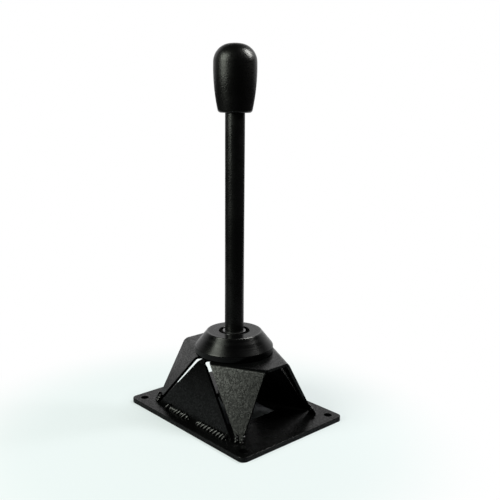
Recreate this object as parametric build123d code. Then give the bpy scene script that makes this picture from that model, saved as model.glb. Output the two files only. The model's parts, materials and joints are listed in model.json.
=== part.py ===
from build123d import *
import os
from math import asin, atan2, cos, hypot, pi, radians, sin, sqrt, tan

# Short shifter: a gear lever in a spherical bearing on a folded sheet pedestal.
# Millimetres, +Z up, +X towards the front of the car, origin at the middle of the
# base plate's underside. The lever stands upright at rest.

# Base plate
PLATE_LENGTH = 188.0
PLATE_WIDTH = 141.5
PLATE_THICKNESS = 5.0
PLATE_CORNER_R = 6.5
PLATE_EDGE_R = 0.5
BOLT_INSET_X = 11.5
BOLT_INSET_Y = 10.75
BOLT_HOLE_R = 4.25
OPENING_LENGTH = 76.0
OPENING_WIDTH = 66.0
OPENING_CORNER_R = 10.0

# Folded pedestal, sizes to the outside of the sheet and to its sharp fold lines
SHEET = 3.0
BEND_INSIDE_R = 3.0
PEDESTAL_RISE = 64.2
TOP_END_X = 65.5
TOP_END_HALF = 16.1
TOP_SIDE_Y = 44.8
TOP_SIDE_HALF = 8.3
LEG_FOOT_X = 67.9
LEG_FOOT_Y = 52.2
LEG_FOOT_WIDTH = 4.3
LEG_CORNER_GAP = 3.1
PANEL_FOOT_Y = 56.3
PANEL_FOOT_HALF = 60.6
PANEL_TOP_HALF = 2.5

# Weld beads
PANEL_BEAD_R = 3.3
PANEL_BEAD_PITCH = 4.9
PANEL_BEAD_RUNS = ((-42.0, -8.0), (8.0, 53.0))
FOOT_BEAD_R = 2.4
FOOT_BEAD_PITCH = 2.8
FOOT_BEADS = 3
BEAD_LIFT = 0.4

# Spherical plain bearing, 20 mm bore
BALL_R = 14.5
BALL_BORE_R = 10.03
BALL_WIDTH = 16.0
RACE_R = 17.5
RACE_WIDTH = 12.0
LINER_THICKNESS = 0.5
LINER_WIDTH = 8.0
SPHERE_CLEARANCE = 0.03
SEAT_CLEARANCE = 0.02

# Conical bearing housing on top of the pedestal
CAP_BASE_R = 41.4
CAP_RIM_HEIGHT = 6.7
CAP_TOP_R = 29.0
CAP_HEIGHT = 22.4
CAP_EDGE_R = 1.1
CAP_FOOT_CHAMFER = 0.9
CAP_LIP_THICKNESS = 3.6
CAP_LIP_R = 16.3
CAP_MOUTH_CHAMFER = 0.4
CAP_SPIGOT_R = 20.0
SPIGOT_CLEARANCE = 0.1

# Retaining rings
RACE_RING_THICKNESS = 1.5
RACE_RING_DEPTH = 1.0
RACE_RING_INNER_R = 15.3
RACE_RING_LUG_R = 14.4
RACE_RING_LUG_ANGLE = 16.0
RING_GROOVE_PLAY = 0.1
SNAP_RING_THICKNESS = 1.2
SNAP_RING_DEPTH = 0.5
SNAP_RING_OUTER_R = 12.1
SNAP_RING_GAP_ANGLE = 34.0
SNAP_RING_CLEARANCE = 0.3

# Screws that hold the housing, driven from inside the pedestal
SCREW_R = 2.5
SCREW_CIRCLE_R = 31.0
SCREW_COUNT = 4
SCREW_GRIP = 8.0
SCREW_HEAD_R = 4.75
SCREW_HEAD_HEIGHT = 2.75
SCREW_HEAD_RIM = 0.9
SCREW_HEAD_FLAT_R = 2.85
SCREW_SOCKET_R = 1.75
SCREW_SOCKET_DEPTH = 1.6
SCREW_HOLE_SPARE = 1.5
SCREW_CLEARANCE = 0.25
WASHER_R = 5.0
WASHER_THICKNESS = 1.0

# Lever
TUBE_R = 10.0
TUBE_WALL = 3.0
TUBE_ABOVE_PIVOT = 246.3
STUD_R = 6.0
STUD_LENGTH = 30.0
STUD_PLUG_LENGTH = 18.0
STUD_CHAMFER = 1.0
EYE_BELOW_PIVOT = 60.5
EYE_R = 12.0
EYE_WIDTH = 24.0
EYE_BUSH_R = 7.5
EYE_BORE_R = 5.0
EYE_FLANGE_R = 10.5
EYE_FLANGE = 1.5
EYE_EDGE_CHAMFER = 0.8
EYE_BEAD_R = 3.0
EYE_BEADS = 14

# Knob
KNOB_HEIGHT = 67.1
KNOB_MAX_R = 21.85
KNOB_CROWN_R = 40.0
KNOB_SHOULDER_R = 18.0
KNOB_SIDE_R = 195.0
KNOB_WIDEST_HEIGHT = 43.7
KNOB_EDGE_R = 3.2
KNOB_SOCKET_DEPTH = 10.0
KNOB_SOCKET_CLEARANCE = 0.2
INSERT_R = 9.0
INSERT_LENGTH = 28.0
INSERT_GROOVE = 1.0
INSERT_GROOVE_WIDTH = 3.0
STUD_END_CLEARANCE = 3.0

# Heights that the pieces share
TOP_Z = PLATE_THICKNESS + PEDESTAL_RISE
CAP_TOP_Z = TOP_Z + CAP_HEIGHT
LIP_Z = CAP_TOP_Z - CAP_LIP_THICKNESS
PIVOT_Z = LIP_Z - RACE_WIDTH / 2
RACE_Z = LIP_Z - RACE_WIDTH
EYE_Z = PIVOT_Z - EYE_BELOW_PIVOT
TUBE_TOP_Z = PIVOT_Z + TUBE_ABOVE_PIVOT
KNOB_Z = TUBE_TOP_Z - KNOB_SOCKET_DEPTH
BEND_OUTSIDE_R = BEND_INSIDE_R + SHEET
BEYOND = PLATE_LENGTH + PLATE_WIDTH


def turned(points):
    """Solid of revolution about Z from (radius, height) points."""
    outline = Plane.XZ * make_face(Polyline(*points, close=True))
    return revolve(outline, Axis.Z)


def rod(radius, low, high):
    """Upright cylinder between two heights."""
    return Pos(0, 0, low) * Cylinder(radius, high - low, align=(Align.CENTER, Align.CENTER, Align.MIN))


def four_ways(piece):
    """The piece and its mirror images in the other three corners."""
    pair = [piece, mirror(piece, about=Plane.YZ)]
    return pair + [mirror(one, about=Plane.XZ) for one in pair]


def half_space_above(height):
    """Everything above a height, as a large box."""
    return Pos(0, 0, height) * Box(BEYOND, BEYOND, BEYOND, align=(Align.CENTER, Align.CENTER, Align.MIN))


def base_plate():
    """Flat plate with four bolt holes and the opening under the lever."""
    blank = extrude(RectangleRounded(PLATE_LENGTH, PLATE_WIDTH, PLATE_CORNER_R), PLATE_THICKNESS)
    blank = fillet(blank.faces().sort_by(Axis.Z)[-1].edges(), PLATE_EDGE_R)
    opening = extrude(RectangleRounded(OPENING_LENGTH, OPENING_WIDTH, OPENING_CORNER_R), PLATE_THICKNESS)
    spacing_x = PLATE_LENGTH - 2 * BOLT_INSET_X
    spacing_y = PLATE_WIDTH - 2 * BOLT_INSET_Y
    holes = GridLocations(spacing_x, spacing_y, 2, 2) * rod(BOLT_HOLE_R, 0, PLATE_THICKNESS)
    return blank - opening - holes


class Fold:
    """One fold line of the pedestal: where it runs and how far the sheet turns down.

    corner is a point of the sharp fold line seen from above, outward the level
    direction away from the top, and run the level distance covered down to the plate.
    """

    def __init__(self, corner, outward, run):
        self.corner = Vector(corner[0], corner[1], TOP_Z)
        self.outward = Vector(outward[0], outward[1], 0).normalized()
        self.along = self.outward.cross(Vector(0, 0, 1))
        self.angle = atan2(PEDESTAL_RISE, run)
        self.setback = BEND_OUTSIDE_R * tan(self.angle / 2)
        self.slope_length = PEDESTAL_RISE / sin(self.angle)

    def section(self):
        """Cross-section of the bend and the flange, as thick as the sheet."""
        down = Vector(cos(self.angle), -sin(self.angle))
        inward = Vector(-sin(self.angle), -cos(self.angle))
        half = Vector(sin(self.angle / 2), cos(self.angle / 2))
        centre = Vector(-self.setback, -BEND_OUTSIDE_R)
        top = Vector(-self.setback, 0)
        under = Vector(-self.setback, -SHEET)
        start = down * self.setback
        end = down * self.slope_length
        outer = ThreePointArc(top, centre + half * BEND_OUTSIDE_R, start)
        inner = ThreePointArc(start + inward * SHEET, centre + half * BEND_INSIDE_R, under)
        sides = Polyline(start, end, end + inward * SHEET, start + inward * SHEET)
        frame = Plane(self.corner, x_dir=self.outward, z_dir=self.along)
        return frame * make_face([outer, *sides.edges(), inner, Line(under, top)])

    def flange(self, outline):
        """The folded sheet inside an outline of (along the fold, down the slope) points."""
        strip = extrude(self.section(), BEYOND, both=True)
        normal = self.outward * sin(self.angle) + Vector(0, 0, cos(self.angle))
        frame = Plane(self.corner, x_dir=self.along, z_dir=normal)
        blank = extrude(frame * make_face(Polyline(*outline, close=True)), 2 * BEND_OUTSIDE_R, both=True)
        return strip & blank & half_space_above(PLATE_THICKNESS)


def leg_fold():
    """Fold line between an open end and a side of the top, in the +X +Y corner."""
    end = Vector(TOP_END_X, TOP_END_HALF)
    side = Vector(TOP_SIDE_HALF, TOP_SIDE_Y)
    line = (end - side).normalized()
    outward = Vector(-line.Y, line.X)
    run = (Vector(LEG_FOOT_X, LEG_FOOT_Y) - end).dot(outward)
    return Fold((end.X, end.Y), (outward.X, outward.Y), run)


def panel_fold():
    """Fold line of the side panel on +Y."""
    return Fold((0, TOP_SIDE_Y), (0, 1), PANEL_FOOT_Y - TOP_SIDE_Y)


def leg_outline(fold):
    """Tapered leg: full width at the fold, a narrow tip at the plate."""
    foot = (Vector(LEG_FOOT_X, LEG_FOOT_Y, TOP_Z) - fold.corner).dot(fold.along)
    side = LEG_CORNER_GAP - (fold.corner - Vector(TOP_SIDE_HALF, TOP_SIDE_Y, TOP_Z)).length
    bottom = fold.slope_length
    rise = fold.setback * cos(fold.angle)
    shift = fold.setback * fold.outward.X / fold.along.X
    return [
        (2 * shift, -2 * rise),
        (0, 0),
        (foot + LEG_FOOT_WIDTH / 2, bottom),
        (foot - LEG_FOOT_WIDTH / 2, bottom),
        (side, 0),
        (side, -2 * rise),
    ]


def panel_outline(fold):
    """Near-triangular side panel, wide at the plate."""
    return [
        (PANEL_TOP_HALF, -BEND_OUTSIDE_R),
        (PANEL_TOP_HALF, 0),
        (PANEL_FOOT_HALF, fold.slope_length),
        (-PANEL_FOOT_HALF, fold.slope_length),
        (-PANEL_TOP_HALF, 0),
        (-PANEL_TOP_HALF, -BEND_OUTSIDE_R),
    ]


def pedestal_top(leg, panel):
    """Flat octagon of the top, out to where the bends begin."""
    reach = leg.corner.dot(leg.outward) - leg.setback
    side_y = TOP_SIDE_Y - panel.setback
    end_y = (reach - leg.outward.X * TOP_END_X) / leg.outward.Y
    side_x = (reach - leg.outward.Y * side_y) / leg.outward.X
    quarter = [(TOP_END_X, end_y), (side_x, side_y)]
    outline = quarter + [(-x, y) for x, y in reversed(quarter)]
    outline += [(-x, -y) for x, y in outline]
    sheet = extrude(make_face(Polyline(*outline, close=True)), SHEET)
    return Pos(0, 0, TOP_Z - SHEET) * sheet


def screw_places():
    """Middle of each housing screw, seen from above."""
    return PolarLocations(SCREW_CIRCLE_R, SCREW_COUNT, start_angle=180 / SCREW_COUNT)


def pedestal_shell():
    """One folded sheet: flat top, two side panels, four legs, open at both ends."""
    leg, panel = leg_fold(), panel_fold()
    side = panel.flange(panel_outline(panel))
    shell = pedestal_top(leg, panel) + four_ways(leg.flange(leg_outline(leg)))
    shell += [side, mirror(side, about=Plane.XZ)]
    low, high = TOP_Z - 2 * BEND_OUTSIDE_R, TOP_Z
    leg_side_x = TOP_SIDE_HALF + LEG_CORNER_GAP * leg.along.X - leg.setback * leg.outward.X
    slit_x, slit_r = (leg_side_x + PANEL_TOP_HALF) / 2, (leg_side_x - PANEL_TOP_HALF) / 2
    slit_end = Pos(slit_x, TOP_SIDE_Y - panel.setback, 0) * rod(slit_r, low, high)
    shell -= four_ways(slit_end)
    shell -= rod(CAP_SPIGOT_R + SPIGOT_CLEARANCE, low, high)
    shell -= screw_places() * rod(SCREW_R + SCREW_CLEARANCE, low, high)
    return shell


def bead(centres, radius):
    """Weld bead as a row of overlapping round ripples."""
    ripples = [Pos(*place) * Sphere(radius) for place in centres]
    return ripples[0] + ripples[1:]


def side_welds():
    """Two stitch welds along the foot of each side panel."""
    beads = []
    for start, end in PANEL_BEAD_RUNS:
        steps = round((end - start) / PANEL_BEAD_PITCH)
        gap = (end - start) / steps
        line = [(start + gap * i, PANEL_FOOT_Y, PLATE_THICKNESS + BEAD_LIFT) for i in range(steps + 1)]
        beads.append(bead(line, PANEL_BEAD_R))
    beads += [mirror(one, about=Plane.XZ) for one in beads]
    return beads


def foot_welds():
    """Short beads up both edges of each leg's tip."""
    leg = leg_fold()
    foot = Vector(LEG_FOOT_X, LEG_FOOT_Y, PLATE_THICKNESS)
    outline = leg_outline(leg)
    beads = []
    for sign, top, low in ((1, outline[1], outline[2]), (-1, outline[4], outline[3])):
        lean = (top[0] - low[0]) / hypot(top[0] - low[0], top[1] - low[1])
        edge = leg.along * lean + Vector(0, 0, sqrt(1 - lean**2)) * sin(leg.angle)
        edge -= leg.outward * (sqrt(1 - lean**2) * cos(leg.angle))
        start = foot + leg.along * (sign * LEG_FOOT_WIDTH / 2) - leg.outward * (SHEET / 2)
        line = [start + edge * (FOOT_BEAD_PITCH * i) + Vector(0, 0, BEAD_LIFT) for i in range(FOOT_BEADS)]
        beads.append(bead([(p.X, p.Y, p.Z) for p in line], FOOT_BEAD_R))
    return [one for two in beads for one in four_ways(two)]


def trimmed(beads, shell):
    """The part of each bead outside the plate and the sheet that it joins, as one group."""
    solids = []
    for one in beads:
        outside = (one - shell) & half_space_above(PLATE_THICKNESS)
        solids.append(max(outside.solids(), key=lambda solid: solid.volume))
    return Compound(children=solids)


def bearing_housing():
    """Turned cone with a lip over the bearing; its spigot locates in the pedestal's top."""
    groove_low = RACE_Z - RACE_RING_THICKNESS - RING_GROOVE_PLAY
    bore = RACE_R + SEAT_CLEARANCE
    groove = bore + RACE_RING_DEPTH
    body = turned([
        (bore, TOP_Z - SHEET),
        (CAP_SPIGOT_R, TOP_Z - SHEET),
        (CAP_SPIGOT_R, TOP_Z),
        (CAP_BASE_R - CAP_FOOT_CHAMFER, TOP_Z),
        (CAP_BASE_R, TOP_Z + CAP_FOOT_CHAMFER),
        (CAP_BASE_R, TOP_Z + CAP_RIM_HEIGHT),
        (CAP_TOP_R, CAP_TOP_Z),
        (CAP_LIP_R + CAP_MOUTH_CHAMFER, CAP_TOP_Z),
        (CAP_LIP_R, CAP_TOP_Z - CAP_MOUTH_CHAMFER),
        (CAP_LIP_R, LIP_Z),
        (bore, LIP_Z),
        (bore, RACE_Z),
        (groove, RACE_Z),
        (groove, groove_low),
        (bore, groove_low),
    ])
    rings = body.edges().filter_by(GeomType.CIRCLE)
    corners = [
        edge for edge in rings
        if abs(edge.radius - CAP_TOP_R) < 0.01 or (
            abs(edge.radius - CAP_BASE_R) < 0.01 and edge.center().Z > TOP_Z + CAP_RIM_HEIGHT / 2)
    ]
    body = fillet(corners, CAP_EDGE_R)
    reach = TOP_Z + SCREW_GRIP - SHEET - WASHER_THICKNESS + SCREW_HOLE_SPARE
    return body - screw_places() * rod(SCREW_R, TOP_Z, reach)


def housing_screws():
    """Button-head screws up through the sheet into the housing."""
    seat = TOP_Z - SHEET - WASHER_THICKNESS
    crown = seat - SCREW_HEAD_HEIGHT
    head = turned([
        (0, seat),
        (SCREW_HEAD_R, seat),
        (SCREW_HEAD_R, seat - SCREW_HEAD_RIM),
        (SCREW_HEAD_FLAT_R, crown),
        (0, crown),
    ])
    screw = head + rod(SCREW_R, seat, seat + SCREW_GRIP)
    drive = extrude(RegularPolygon(SCREW_SOCKET_R, 6), SCREW_SOCKET_DEPTH)
    screw -= Pos(0, 0, crown) * drive
    return Compound(children=[place * screw for place in screw_places()])


def screw_washers():
    """Plain washers under the screw heads."""
    low = TOP_Z - SHEET - WASHER_THICKNESS
    washer = rod(WASHER_R, low, TOP_Z - SHEET) - rod(SCREW_R + SCREW_CLEARANCE, low, TOP_Z - SHEET)
    return Compound(children=[place * washer for place in screw_places()])


def sphere_zone(radius, width):
    """Ball cut off flat at both sides, centred on the pivot."""
    return Pos(0, 0, PIVOT_Z) * (Sphere(radius) & Box(BEYOND, BEYOND, width))


def bearing_race():
    """Outer ring with a hollow spherical seat."""
    hollow = BALL_R + LINER_THICKNESS + 2 * SPHERE_CLEARANCE
    return rod(RACE_R, RACE_Z, LIP_Z) - Pos(0, 0, PIVOT_Z) * Sphere(hollow)


def bearing_liner():
    """Thin spherical liner between the ball and the outer ring."""
    inner = BALL_R + SPHERE_CLEARANCE
    return sphere_zone(inner + LINER_THICKNESS, LINER_WIDTH) - Pos(0, 0, PIVOT_Z) * Sphere(inner)


def bearing_ball():
    """Ball with the lever's bore."""
    return sphere_zone(BALL_R, BALL_WIDTH) - rod(BALL_BORE_R, PIVOT_Z - BEYOND / 2, PIVOT_Z + BEYOND / 2)


def sector(radius, angle, low, high):
    """Wedge of a cylinder, half the angle each side of the -X direction."""
    rise = radius * tan(radians(angle / 2))
    wedge = Polyline((0, 0), (-radius, rise), (-radius, -rise), close=True)
    return Pos(0, 0, low) * extrude(make_face(wedge), high - low)


def race_ring():
    """Internal retaining ring below the bearing, with its two plier lugs."""
    low = RACE_Z - RACE_RING_THICKNESS
    high = RACE_Z
    outer = RACE_R + SEAT_CLEARANCE + RACE_RING_DEPTH
    ring = rod(outer, low, high) - rod(RACE_RING_INNER_R, low, high)
    lug = rod(RACE_RING_INNER_R, low, high) - rod(RACE_RING_LUG_R, low, high)
    lugs = lug & sector(2 * outer, 3 * RACE_RING_LUG_ANGLE, low, high)
    return ring + lugs - sector(2 * outer, RACE_RING_LUG_ANGLE, low, high)


def snap_ring(low):
    """Open retaining ring round the lever."""
    high = low + SNAP_RING_THICKNESS
    ring = rod(SNAP_RING_OUTER_R, low, high) - rod(TUBE_R - SNAP_RING_DEPTH, low, high)
    return ring - sector(2 * SNAP_RING_OUTER_R, SNAP_RING_GAP_ANGLE, low, high)


def snap_ring_lows():
    """Lower faces of the two snap rings, one each side of the ball."""
    reach = BALL_WIDTH / 2 + SNAP_RING_CLEARANCE
    return PIVOT_Z - reach - SNAP_RING_THICKNESS, PIVOT_Z + reach


def eye_blank(radius, width):
    """Level cylinder across the car at the lever's lower end."""
    return Pos(0, 0, EYE_Z) * Rot(90, 0, 0) * Cylinder(radius, width)


def lever_tube():
    """Straight tube with two ring grooves, coped onto the eye below."""
    inner = TUBE_R - TUBE_WALL
    tube = rod(TUBE_R, EYE_Z, TUBE_TOP_Z) - rod(inner, EYE_Z, TUBE_TOP_Z)
    for low in snap_ring_lows():
        high = low + SNAP_RING_THICKNESS + RING_GROOVE_PLAY
        tube -= rod(TUBE_R, low, high) - rod(TUBE_R - SNAP_RING_DEPTH, low, high)
    return tube - eye_blank(EYE_R, EYE_WIDTH)


def lever_stud():
    """Plug in the tube's top with the threaded stud that carries the knob."""
    plug_r = TUBE_R - TUBE_WALL
    plug = rod(plug_r, TUBE_TOP_Z - STUD_PLUG_LENGTH, TUBE_TOP_Z)
    stud = rod(STUD_R, TUBE_TOP_Z, TUBE_TOP_Z + STUD_LENGTH)
    stud = chamfer(stud.edges().sort_by(Axis.Z)[-1], STUD_CHAMFER)
    return plug + stud


def selector_eye():
    """Cross tube at the lever's lower end for the selector rod's pin."""
    blank = chamfer(eye_blank(EYE_R, EYE_WIDTH).edges().filter_by(GeomType.CIRCLE), EYE_EDGE_CHAMFER)
    return blank - eye_blank(EYE_BUSH_R, EYE_WIDTH)


def eye_weld():
    """Bead all round the joint of the tube and the eye."""
    line = []
    for i in range(EYE_BEADS):
        turn = 2 * pi * i / EYE_BEADS
        x, y = TUBE_R * cos(turn), TUBE_R * sin(turn)
        line.append((x, y, EYE_Z + sqrt(EYE_R**2 - x**2)))
    ring = bead(line, EYE_BEAD_R)
    ring = ring - eye_blank(EYE_R, 2 * EYE_WIDTH) - rod(TUBE_R, EYE_Z, TUBE_TOP_Z)
    return ring & (Pos(0, 0, EYE_Z) * Box(BEYOND, EYE_WIDTH, BEYOND))


def eye_bush(side):
    """Flanged bush in one end of the eye; side is 1 for +Y and -1 for -Y."""
    sleeve = Cylinder(EYE_BUSH_R, EYE_WIDTH / 2, align=(Align.CENTER, Align.CENTER, Align.MIN))
    flange = Cylinder(EYE_FLANGE_R, EYE_FLANGE, align=(Align.CENTER, Align.CENTER, Align.MIN))
    bush = sleeve + Pos(0, 0, EYE_WIDTH / 2) * flange
    bush -= Cylinder(EYE_BORE_R, 2 * EYE_WIDTH)
    return Pos(0, 0, EYE_Z) * Rot(-90 * side, 0, 0) * bush


def knob_outline():
    """Half outline of the knob: side arc, shoulder arc and crown arc, each tangent to the next."""
    widest = KNOB_Z + KNOB_WIDEST_HEIGHT
    top = KNOB_Z + KNOB_HEIGHT
    side_x = KNOB_MAX_R - KNOB_SIDE_R
    crown_z = top - KNOB_CROWN_R
    span = hypot(side_x, widest - crown_z)
    # The shoulder's centre lies where circles about the other two centres cross.
    from_side = KNOB_SIDE_R - KNOB_SHOULDER_R
    from_crown = KNOB_CROWN_R - KNOB_SHOULDER_R
    along = (from_side**2 - from_crown**2 + span**2) / (2 * span)
    across = sqrt(from_side**2 - along**2)
    ux, uz = -side_x / span, (crown_z - widest) / span
    sx = side_x + ux * along - uz * across
    sz = widest + uz * along + ux * across
    side_angle = atan2(sz - widest, sx - side_x)
    crown_angle = atan2(sz - crown_z, sx)
    foot_angle = -asin(KNOB_WIDEST_HEIGHT / KNOB_SIDE_R)

    def on(x, z, radius, angle):
        return x + radius * cos(angle), z + radius * sin(angle)

    foot = on(side_x, widest, KNOB_SIDE_R, foot_angle)
    side_mid = on(side_x, widest, KNOB_SIDE_R, (foot_angle + side_angle) / 2)
    side_end = on(side_x, widest, KNOB_SIDE_R, side_angle)
    shoulder_mid = on(sx, sz, KNOB_SHOULDER_R, (side_angle + crown_angle) / 2)
    shoulder_end = on(sx, sz, KNOB_SHOULDER_R, crown_angle)
    crown_mid = on(0, crown_z, KNOB_CROWN_R, (crown_angle + pi / 2) / 2)
    return [
        Line((0, KNOB_Z), foot),
        ThreePointArc(foot, side_mid, side_end),
        ThreePointArc(side_end, shoulder_mid, shoulder_end),
        ThreePointArc(shoulder_end, crown_mid, (0, top)),
        Line((0, top), (0, KNOB_Z)),
    ]


def insert_blank():
    """Outside of the threaded insert, with one anchoring groove."""
    blank = rod(INSERT_R, TUBE_TOP_Z, TUBE_TOP_Z + INSERT_LENGTH)
    low = TUBE_TOP_Z + (INSERT_LENGTH - INSERT_GROOVE_WIDTH) / 2
    high = low + INSERT_GROOVE_WIDTH
    return blank - (rod(INSERT_R, low, high) - rod(INSERT_R - INSERT_GROOVE, low, high))


def knob():
    """Pear-shaped hand knob with a socket for the tube and the moulded-in insert."""
    solid = revolve(Plane.XZ * make_face(knob_outline()), Axis.Z)
    foot_edge = solid.edges().filter_by(GeomType.CIRCLE).sort_by(Axis.Z)[0]
    solid = fillet(foot_edge, KNOB_EDGE_R)
    socket = rod(TUBE_R + KNOB_SOCKET_CLEARANCE, KNOB_Z, TUBE_TOP_Z)
    stud_room = rod(STUD_R, TUBE_TOP_Z, TUBE_TOP_Z + STUD_LENGTH + STUD_END_CLEARANCE)
    return solid - socket - insert_blank() - stud_room


def knob_insert():
    """Threaded insert that screws onto the stud."""
    return insert_blank() - rod(STUD_R, TUBE_TOP_Z, TUBE_TOP_Z + STUD_LENGTH)


def build():
    """All sub-parts by name."""
    plate = base_plate()
    shell = pedestal_shell()
    lower_ring, upper_ring = snap_ring_lows()
    return {
        "base_plate": plate,
        "pedestal_shell": shell,
        "side_panel_welds": trimmed(side_welds(), shell),
        "leg_foot_welds": trimmed(foot_welds(), shell),
        "bearing_housing": bearing_housing(),
        "housing_screws": housing_screws(),
        "housing_screw_washers": screw_washers(),
        "bearing_outer_race": bearing_race(),
        "bearing_retaining_ring": race_ring(),
        "bearing_liner": bearing_liner(),
        "bearing_ball": bearing_ball(),
        "lever_tube": lever_tube(),
        "lever_snap_ring_upper": snap_ring(upper_ring),
        "lever_snap_ring_lower": snap_ring(lower_ring),
        "lever_stud": lever_stud(),
        "selector_eye": selector_eye(),
        "selector_eye_weld": eye_weld(),
        "selector_eye_bush_left": eye_bush(1),
        "selector_eye_bush_right": eye_bush(-1),
        "knob": knob(),
        "knob_insert": knob_insert(),
    }


os.makedirs("parts", exist_ok=True)
for name, piece in build().items():
    export_step(piece, f"parts/{name}.step")
    print(name, round(piece.volume, 1), "mm3", len(piece.solids()), "solids")
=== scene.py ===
# %% [markdown]
# # A short shifter, dressed for its portrait
#
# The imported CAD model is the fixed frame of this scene: every solid already has its
# true size and place, in metres, with +Z up and the origin under the middle of the
# base plate. Blender's job is the surface of things: how the powder coat breaks up
# the light, how the turned housing shows its tool marks, how the weld metal ripples.

# %% Load the frame
import json
import math

import bpy
import numpy as np
from mathutils import Matrix, Vector


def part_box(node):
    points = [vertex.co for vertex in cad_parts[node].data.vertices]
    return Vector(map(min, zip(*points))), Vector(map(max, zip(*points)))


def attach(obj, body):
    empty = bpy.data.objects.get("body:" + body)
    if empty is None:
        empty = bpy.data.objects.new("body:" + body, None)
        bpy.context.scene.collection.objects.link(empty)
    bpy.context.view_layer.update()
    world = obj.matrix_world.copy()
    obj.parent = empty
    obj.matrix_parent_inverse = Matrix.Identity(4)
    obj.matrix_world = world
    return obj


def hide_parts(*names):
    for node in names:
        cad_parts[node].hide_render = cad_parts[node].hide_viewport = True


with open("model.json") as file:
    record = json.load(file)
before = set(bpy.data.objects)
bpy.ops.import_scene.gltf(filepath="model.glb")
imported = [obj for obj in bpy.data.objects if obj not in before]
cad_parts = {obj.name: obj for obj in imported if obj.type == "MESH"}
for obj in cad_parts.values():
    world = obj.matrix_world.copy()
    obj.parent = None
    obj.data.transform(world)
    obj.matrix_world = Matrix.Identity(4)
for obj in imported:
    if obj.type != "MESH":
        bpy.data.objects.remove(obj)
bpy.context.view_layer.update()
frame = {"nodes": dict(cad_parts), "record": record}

nodes = frame["nodes"]
MM = 0.001

# %% [markdown]
# ## Small helpers for node trees
#
# A material in Blender is a tree of nodes, and most lines that build one only say
# "make this node, give it these values, join these sockets". A few short helpers
# keep the recipes further down readable. `put` makes a node and fills its sockets,
# `join` links two of them, `maths` and `spread` work with numbers, and `new_group`
# starts a node group: a reusable effect with named inputs and outputs, built once and
# put by `place` into every material that wants it.

# %% Helpers: nodes, links and groups
def put(tree, kind, values=(), **settings):
    """New node of a kind; settings are its own properties, values fill input sockets."""
    node = tree.nodes.new(kind)
    for name, value in settings.items():
        setattr(node, name, value)
    for socket, value in dict(values).items():
        node.inputs[socket].default_value = value
    return node


def join(tree, *pairs):
    """Link (output socket, input socket) pairs."""
    for output, target in pairs:
        tree.links.new(output, target)


def maths(tree, operation, first, second=0.0, third=None, clamp=False):
    """Math node; each operand is an output socket or a plain number."""
    node = put(tree, "ShaderNodeMath", operation=operation, use_clamp=clamp)
    for index, value in enumerate([first, second, third]):
        if isinstance(value, bpy.types.NodeSocket):
            tree.links.new(value, node.inputs[index])
        elif value is not None:
            node.inputs[index].default_value = value
    return node.outputs[0]


def spread(tree, value, low, high, to_low=0.0, to_high=1.0):
    """Smooth step: to_low where value is under low, to_high where it is over high."""
    node = put(tree, "ShaderNodeMapRange", {"From Min": low, "From Max": high,
               "To Min": to_low, "To Max": to_high}, interpolation_type="SMOOTHSTEP")
    tree.links.new(value, node.inputs["Value"])
    return node.outputs["Result"]


def new_group(name, inputs, outputs):
    """Empty shader group with float or vector sockets; returns it with its two end nodes."""
    group = bpy.data.node_groups.new(name, "ShaderNodeTree")
    for label, value in inputs.items():
        kind = "NodeSocketVector" if value is None else "NodeSocketFloat"
        socket = group.interface.new_socket(name=label, in_out="INPUT", socket_type=kind)
        if value is not None:
            socket.default_value = value
    for label in outputs:
        group.interface.new_socket(name=label, in_out="OUTPUT", socket_type="NodeSocketFloat")
    return group, put(group, "NodeGroupInput"), put(group, "NodeGroupOutput")


def place(tree, group, vector, **values):
    """Puts a group into a material and feeds it the pattern coordinates."""
    node = put(tree, "ShaderNodeGroup", node_tree=group)
    tree.links.new(vector, node.inputs["Vector"])
    for label, value in values.items():
        node.inputs[label].default_value = value
    return node.outputs


def hypotenuse(tree, first, second):
    """Root of (first squared + second squared)."""
    squares = maths(tree, "MULTIPLY_ADD", first, first, maths(tree, "MULTIPLY", second, second))
    return maths(tree, "SQRT", squares)


# %% [markdown]
# ## Grain of a powder coat
#
# Powder paint is blown on dry and melted in an oven. It never flows quite flat, so
# the skin is a field of soft pebbles a fraction of a millimetre across, with a few
# finer pits between them. Noise alone looks like fog and Voronoi cells alone look
# like leather, so the group mixes both: cells give the pebbles, noise roughens them.
# `Fleck` is a sparse mask of small spots that came out a little smoother. `Shine`
# says, grain by grain, how well the paint has flowed there: it drives a thin gloss
# layer, and gives the salt-and-pepper look that powder coat has in a highlight.

# %% Group: coat grain
PEBBLE_SHARE = 0.55
NOISE_FINENESS = 1.3


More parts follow.
